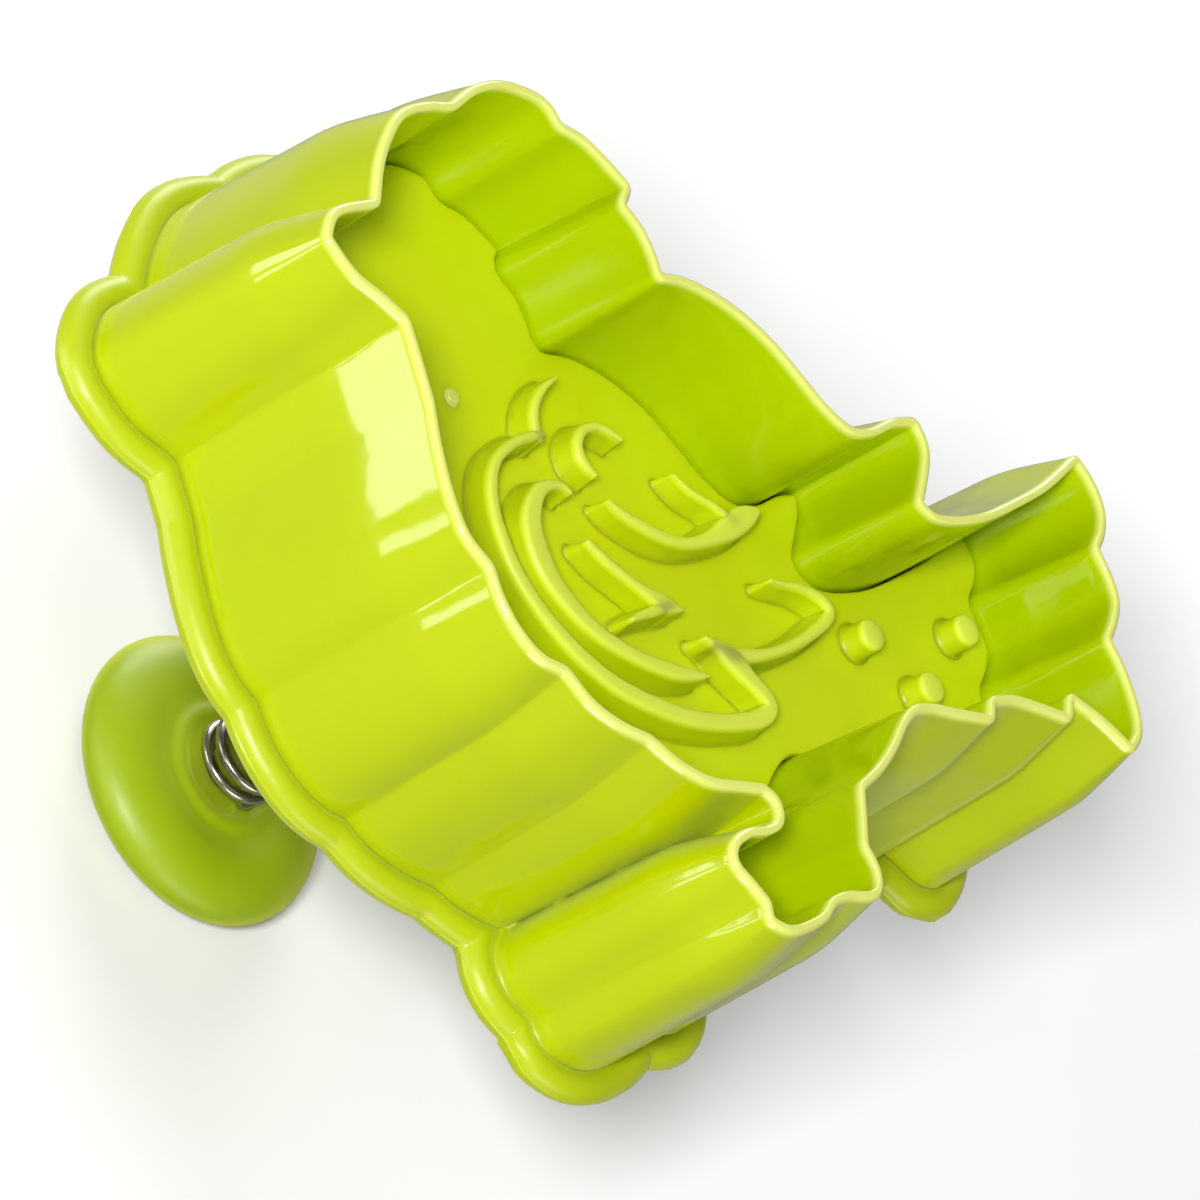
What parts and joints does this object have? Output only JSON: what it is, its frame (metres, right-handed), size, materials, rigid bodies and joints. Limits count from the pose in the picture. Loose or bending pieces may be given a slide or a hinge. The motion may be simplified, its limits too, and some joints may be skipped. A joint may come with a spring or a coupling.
{
  "type": "plunger cutter",
  "caption": "Sprung plunger cutter for dough, icing or clay: a thin wall in a hen outline, a raised feather stamp inside it, and a round push button on a coil spring.",
  "frame": {"origin": "centre of the button's flat outer face, on the plunger's axis", "axes": "+Z runs along the plunger from the button to the cutting edge, -X points to the beak and +Y to the comb; the part stands on its button"},
  "size_m": [0.1, 0.0781, 0.0625],
  "materials": {
    "lime_plastic": "semi-gloss moulded, slightly translucent at thin edges",
    "spring_steel": "bright drawn wire"
  },
  "bodies": {
    "cutter": {"cutter_body": "lime_plastic", "return_spring": "spring_steel"},
    "plunger": {"stamp_plate": "lime_plastic", "plunger_stem": "lime_plastic", "button": "lime_plastic"}
  },
  "joints": [
    {"name": "plunger_press", "type": "slide", "parent": "cutter", "child": "plunger", "axis": [0, 0, 1], "range_m": [0, 0.0135], "stiffness_N_per_m": 3400, "springref_m": -0.0015, "deforming": ["return_spring"]}
  ]
}
